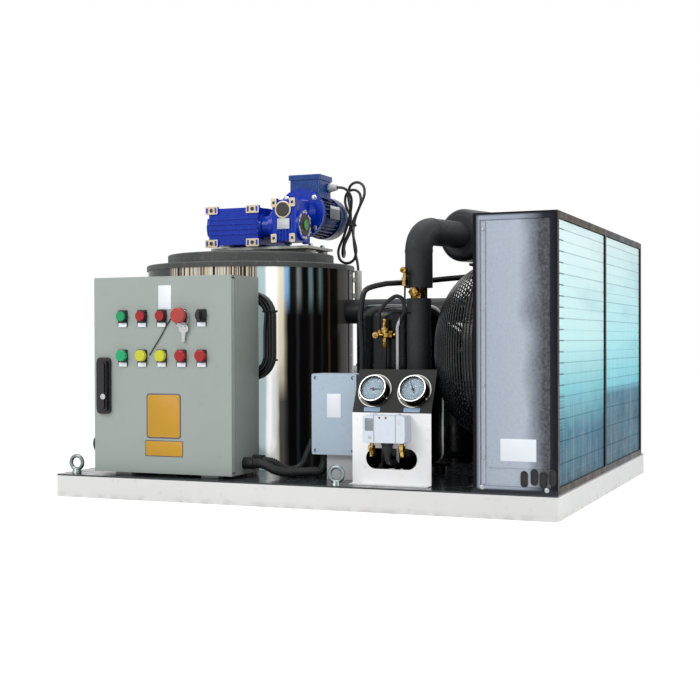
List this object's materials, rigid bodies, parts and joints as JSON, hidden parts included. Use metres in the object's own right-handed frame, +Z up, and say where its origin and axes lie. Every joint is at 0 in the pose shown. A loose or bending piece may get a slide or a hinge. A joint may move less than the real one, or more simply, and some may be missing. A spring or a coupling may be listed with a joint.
{
  "type": "flake ice machine",
  "caption": "Flake ice machine on a base tray: round freezing drum with top-mounted worm drive, control cabinet, compressor, gauge panel and an air-cooled condenser with guarded fans.",
  "frame": {"origin": "middle of the underside of the base tray", "axes": "+X along the tray towards the condenser, +Y to the back, +Z up; the cabinet's door faces -Y"},
  "size_m": [1.32, 1.12, 0.8745],
  "materials": {
    "base_skirt": "satin white paint",
    "deck_plate": "dark gloss paint",
    "lifting_eyes": "zinc plated",
    "drum_jacket": "mirror-polished stainless steel",
    "drum_insulation": "rigid foam",
    "evaporator_wall": "ground steel",
    "drum_lid": "matt black",
    "bottom_spider": "stainless steel",
    "drive_plate": "stainless steel",
    "main_gearbox": "blue gloss paint on cast aluminium",
    "input_gearbox": "blue gloss paint on cast aluminium",
    "gearbox_caps": "black rubber",
    "motor_housing": "dark blue paint",
    "motor_cowl": "dark blue paint",
    "terminal_box": "dark blue paint",
    "motor_cable": "black sheath",
    "cable_tube": "white plastic",
    "main_shaft": "turned steel",
    "ice_blade": "stainless steel",
    "water_tray": "stainless steel",
    "squeegee": "black rubber",
    "water_tank": "stainless steel",
    "cabinet_body": "grey powder coat",
    "mounting_panel": "galvanised steel",
    "control_gear": "grey plastic",
    "cabinet_cables": "black sheath",
    "conduits": "black corrugated plastic",
    "cabinet_door": "grey powder coat",
    "control_bodies": "black plastic",
    "green_lamp": "green lens",
    "yellow_lamps": "yellow lens",
    "red_lamps": "red lens",
    "keys": "nickel plated",
    "handle_base": "black plastic",
    "door_handle": "black plastic",
    "start_button": "green plastic",
    "stop_button": "red plastic",
    "reset_button": "red plastic",
    "emergency_stop": "red plastic",
    "selector_knob": "black plastic",
    "junction_box": "pale blue-grey paint",
    "junction_cover": "pale blue-grey paint",
    "gauge_panel": "stainless steel",
    "gauge_cases": "polished steel",
    "gauge_lenses": "clear glass",
    "low_needle": "black",
    "high_needle": "black",
    "pressure_controller": "white plastic",
    "brass_valves": "machined brass",
    "compressor": "black paint",
    "suction_line": "black foam rubber over copper pipe",
    "liquid_receiver": "black paint",
    "refrigerant_tubes": "copper pipe in black sleeving",
    "condenser_frame": "dark brown paint",
    "condenser_panels": "dark gloss paint",
    "coil": "blue coated aluminium fins",
    "fan_shroud": "black paint",
    "fan_guards": "black plastic coated wire",
    "front_fan": "black paint",
    "rear_fan": "black paint"
  },
  "bodies": {
    "base": {"base_skirt": "base_skirt", "deck_plate": "deck_plate", "lifting_eyes": "lifting_eyes", "drum_jacket": "drum_jacket", "drum_insulation": "drum_insulation", "evaporator_wall": "evaporator_wall", "drum_lid": "drum_lid", "bottom_spider": "bottom_spider", "drive_plate": "drive_plate", "main_gearbox": "main_gearbox", "input_gearbox": "input_gearbox", "gearbox_caps": "gearbox_caps", "motor_housing": "motor_housing", "motor_cowl": "motor_cowl", "terminal_box": "terminal_box", "motor_cable": "motor_cable", "cable_tube": "cable_tube", "water_tank": "water_tank", "cabinet_body": "cabinet_body", "mounting_panel": "mounting_panel", "control_gear": "control_gear", "cabinet_cables": "cabinet_cables", "conduits": "conduits", "junction_box": "junction_box", "junction_cover": "junction_cover", "gauge_panel": "gauge_panel", "gauge_cases": "gauge_cases", "gauge_lenses": "gauge_lenses", "pressure_controller": "pressure_controller", "brass_valves": "brass_valves", "compressor": "compressor", "suction_line": "suction_line", "liquid_receiver": "liquid_receiver", "refrigerant_tubes": "refrigerant_tubes", "condenser_frame": "condenser_frame", "condenser_panels": "condenser_panels", "coil": "coil", "fan_shroud": "fan_shroud", "fan_guards": "fan_guards"},
    "cabinet_door": {"cabinet_door": "cabinet_door", "control_bodies": "control_bodies", "green_lamp": "green_lamp", "yellow_lamps": "yellow_lamps", "red_lamps": "red_lamps", "keys": "keys", "handle_base": "handle_base"},
    "door_handle": {"door_handle": "door_handle"},
    "start_button": {"start_button": "start_button"},
    "stop_button": {"stop_button": "stop_button"},
    "reset_button": {"reset_button": "reset_button"},
    "emergency_stop": {"emergency_stop": "emergency_stop"},
    "selector_knob": {"selector_knob": "selector_knob"},
    "ice_rotor": {"main_shaft": "main_shaft", "ice_blade": "ice_blade", "water_tray": "water_tray", "squeegee": "squeegee"},
    "front_fan": {"front_fan": "front_fan"},
    "rear_fan": {"rear_fan": "rear_fan"},
    "low_needle": {"low_needle": "low_needle"},
    "high_needle": {"high_needle": "high_needle"}
  },
  "joints": [
    {"name": "door_swing", "type": "hinge", "parent": "base", "child": "cabinet_door", "pos_m": [-0.171, -0.518, 0.316], "axis": [0, 0, 1], "range_deg": [0, 105]},
    {"name": "handle_turn", "type": "hinge", "parent": "cabinet_door", "child": "door_handle", "pos_m": [-0.535, -0.535, 0.342], "axis": [0, 1, 0], "range_deg": [0, 90]},
    {"name": "start_press", "type": "slide", "parent": "cabinet_door", "child": "start_button", "axis": [0, 1, 0], "range_m": [0, 0.004], "stiffness_N_per_m": 300},
    {"name": "stop_press", "type": "slide", "parent": "cabinet_door", "child": "stop_button", "axis": [0, 1, 0], "range_m": [0, 0.004], "stiffness_N_per_m": 300},
    {"name": "reset_press", "type": "slide", "parent": "cabinet_door", "child": "reset_button", "axis": [0, 1, 0], "range_m": [0, 0.004], "stiffness_N_per_m": 300},
    {"name": "emergency_press", "type": "slide", "parent": "cabinet_door", "child": "emergency_stop", "axis": [0, 1, 0], "range_m": [0, 0.004]},
    {"name": "selector_turn", "type": "hinge", "parent": "cabinet_door", "child": "selector_knob", "pos_m": [-0.249, -0.527, 0.466], "axis": [0, 1, 0], "range_deg": [-45, 45]},
    {"name": "rotor_spin", "type": "hinge", "parent": "base", "child": "ice_rotor", "pos_m": [-0.358, -0.04, 0.3], "axis": [0, 0, 1], "continuous": true},
    {"name": "front_fan_spin", "type": "hinge", "parent": "base", "child": "front_fan", "pos_m": [0.43, -0.29, 0.373], "axis": [1, 0, 0], "continuous": true},
    {"name": "rear_fan_spin", "type": "hinge", "parent": "base", "child": "rear_fan", "pos_m": [0.43, 0.25, 0.373], "axis": [1, 0, 0], "continuous": true},
    {"name": "low_needle_turn", "type": "hinge", "parent": "base", "child": "low_needle", "pos_m": [0.1915, -0.47794, 0.2856], "axis": [0, 0.91, -0.4147], "range_deg": [-225, 45]},
    {"name": "high_needle_turn", "type": "hinge", "parent": "base", "child": "high_needle", "pos_m": [0.2925, -0.47794, 0.2856], "axis": [0, 0.91, -0.4147], "range_deg": [-110, 160]}
  ]
}
